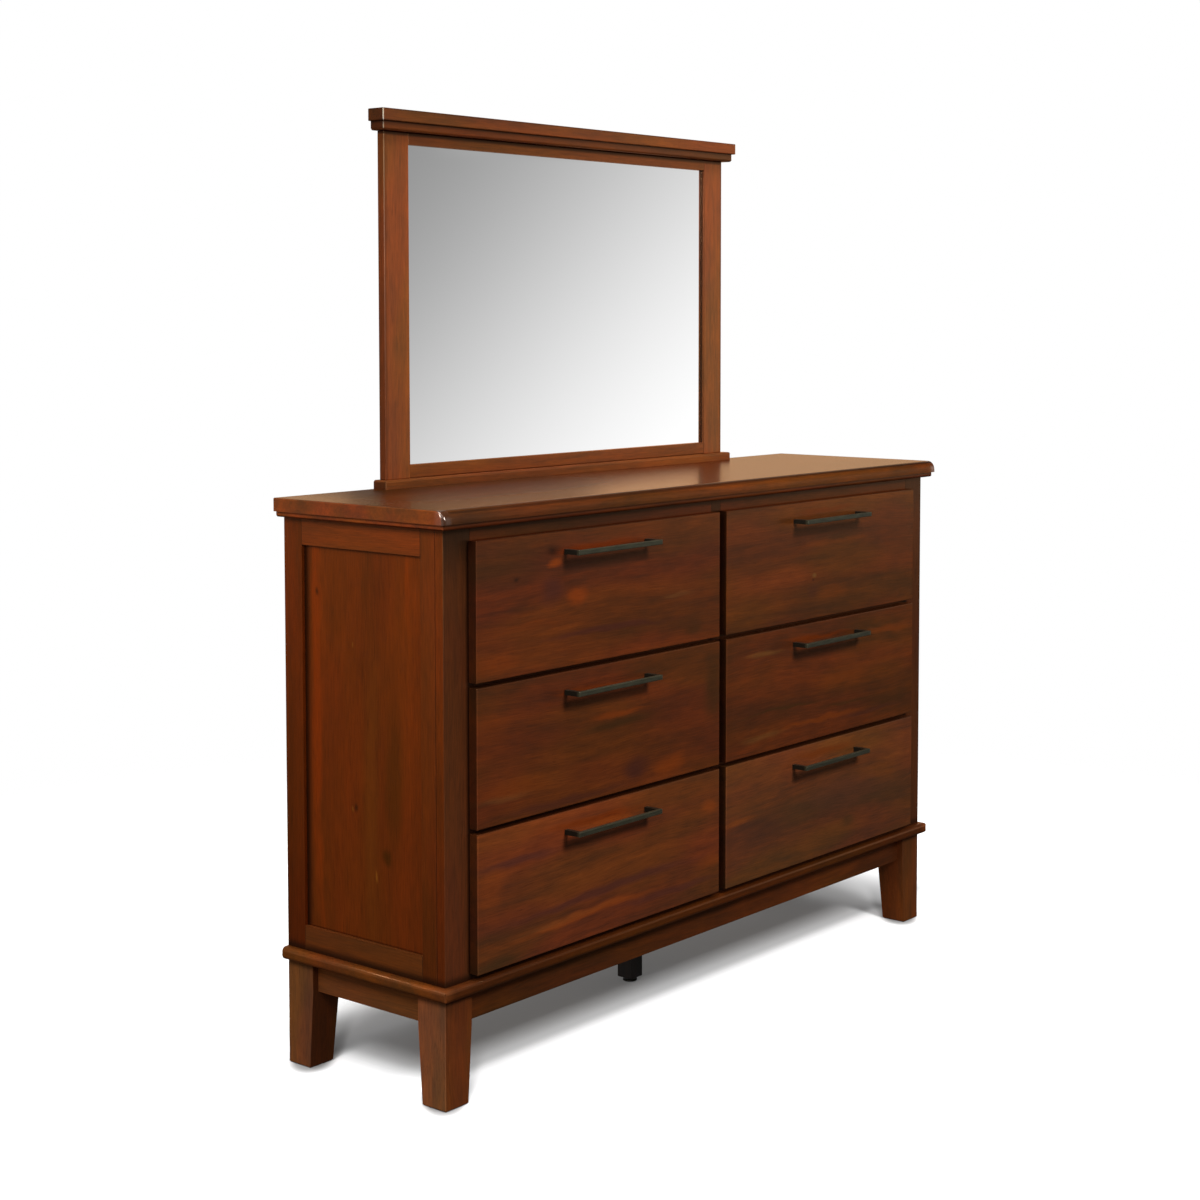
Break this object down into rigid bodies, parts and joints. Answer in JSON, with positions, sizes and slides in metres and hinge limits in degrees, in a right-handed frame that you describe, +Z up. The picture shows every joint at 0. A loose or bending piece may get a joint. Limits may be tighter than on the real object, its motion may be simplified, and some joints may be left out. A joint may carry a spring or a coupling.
{
  "type": "dresser with mirror",
  "caption": "Wide chest of drawers on short square legs, with drawers on metal slides, bar pulls and a framed mirror standing at the back of its top.",
  "frame": {"origin": "middle of the whole dresser's width and depth, on the floor under the feet", "axes": "+X to the right end seen from the front, +Y from the drawer fronts to the back, +Z up"},
  "size_m": [1.498, 0.4494, 1.657],
  "materials": {
    "stained_wood": "reddish-brown stained hardwood under satin lacquer",
    "drawer_wood": "pale sealed hardwood boards",
    "frame_wood": "dark-washed softwood, planed and unpolished",
    "panel_board": "plain sanded plywood",
    "pull_metal": "dark bronze, satin",
    "slide_steel": "zinc-plated pressed steel",
    "mirror_glass": "silvered float glass"
  },
  "bodies": {
    "case": {"back_panel": "panel_board", "back_rails": "frame_wood", "base_moulding": "stained_wood", "bottom_panel": "panel_board", "case_slides": "slide_steel", "centre_partition": "frame_wood", "cross_rail": "frame_wood", "crown_cap": "stained_wood", "crown_moulding": "stained_wood", "end_aprons": "stained_wood", "face_rails": "stained_wood", "face_stiles": "stained_wood", "left_end_panel": "stained_wood", "left_end_rails": "stained_wood", "left_end_stiles": "stained_wood", "legs": "stained_wood", "long_aprons": "stained_wood", "middle_leg": "frame_wood", "mirror_backing": "panel_board", "mirror_glass": "mirror_glass", "mirror_ledge": "stained_wood", "mirror_posts": "frame_wood", "mirror_rails": "stained_wood", "mirror_stiles": "stained_wood", "right_end_panel": "stained_wood", "right_end_rails": "stained_wood", "right_end_stiles": "stained_wood", "slide_battens": "frame_wood", "top_board": "stained_wood", "top_moulding": "stained_wood"},
    "lower_left_drawer": {"lower_left_front": "stained_wood", "lower_left_box": "drawer_wood", "lower_left_bottom": "panel_board", "lower_left_slides": "slide_steel", "lower_left_pull": "pull_metal"},
    "lower_right_drawer": {"lower_right_front": "stained_wood", "lower_right_box": "drawer_wood", "lower_right_bottom": "panel_board", "lower_right_slides": "slide_steel", "lower_right_pull": "pull_metal"},
    "middle_left_drawer": {"middle_left_front": "stained_wood", "middle_left_box": "drawer_wood", "middle_left_bottom": "panel_board", "middle_left_slides": "slide_steel", "middle_left_pull": "pull_metal"},
    "middle_right_drawer": {"middle_right_front": "stained_wood", "middle_right_box": "drawer_wood", "middle_right_bottom": "panel_board", "middle_right_slides": "slide_steel", "middle_right_pull": "pull_metal"},
    "upper_left_drawer": {"upper_left_front": "stained_wood", "upper_left_box": "drawer_wood", "upper_left_bottom": "panel_board", "upper_left_slides": "slide_steel", "upper_left_pull": "pull_metal"},
    "upper_right_drawer": {"upper_right_front": "stained_wood", "upper_right_box": "drawer_wood", "upper_right_bottom": "panel_board", "upper_right_slides": "slide_steel", "upper_right_pull": "pull_metal"}
  },
  "joints": [
    {"name": "lower_left_slide", "type": "slide", "parent": "case", "child": "lower_left_drawer", "axis": [0, -1, 0], "range_m": [0, 0.255]},
    {"name": "lower_right_slide", "type": "slide", "parent": "case", "child": "lower_right_drawer", "axis": [0, -1, 0], "range_m": [0, 0.255]},
    {"name": "middle_left_slide", "type": "slide", "parent": "case", "child": "middle_left_drawer", "axis": [0, -1, 0], "range_m": [0, 0.255]},
    {"name": "middle_right_slide", "type": "slide", "parent": "case", "child": "middle_right_drawer", "axis": [0, -1, 0], "range_m": [0, 0.255]},
    {"name": "upper_left_slide", "type": "slide", "parent": "case", "child": "upper_left_drawer", "axis": [0, -1, 0], "range_m": [0, 0.255]},
    {"name": "upper_right_slide", "type": "slide", "parent": "case", "child": "upper_right_drawer", "axis": [0, -1, 0], "range_m": [0, 0.255]}
  ]
}
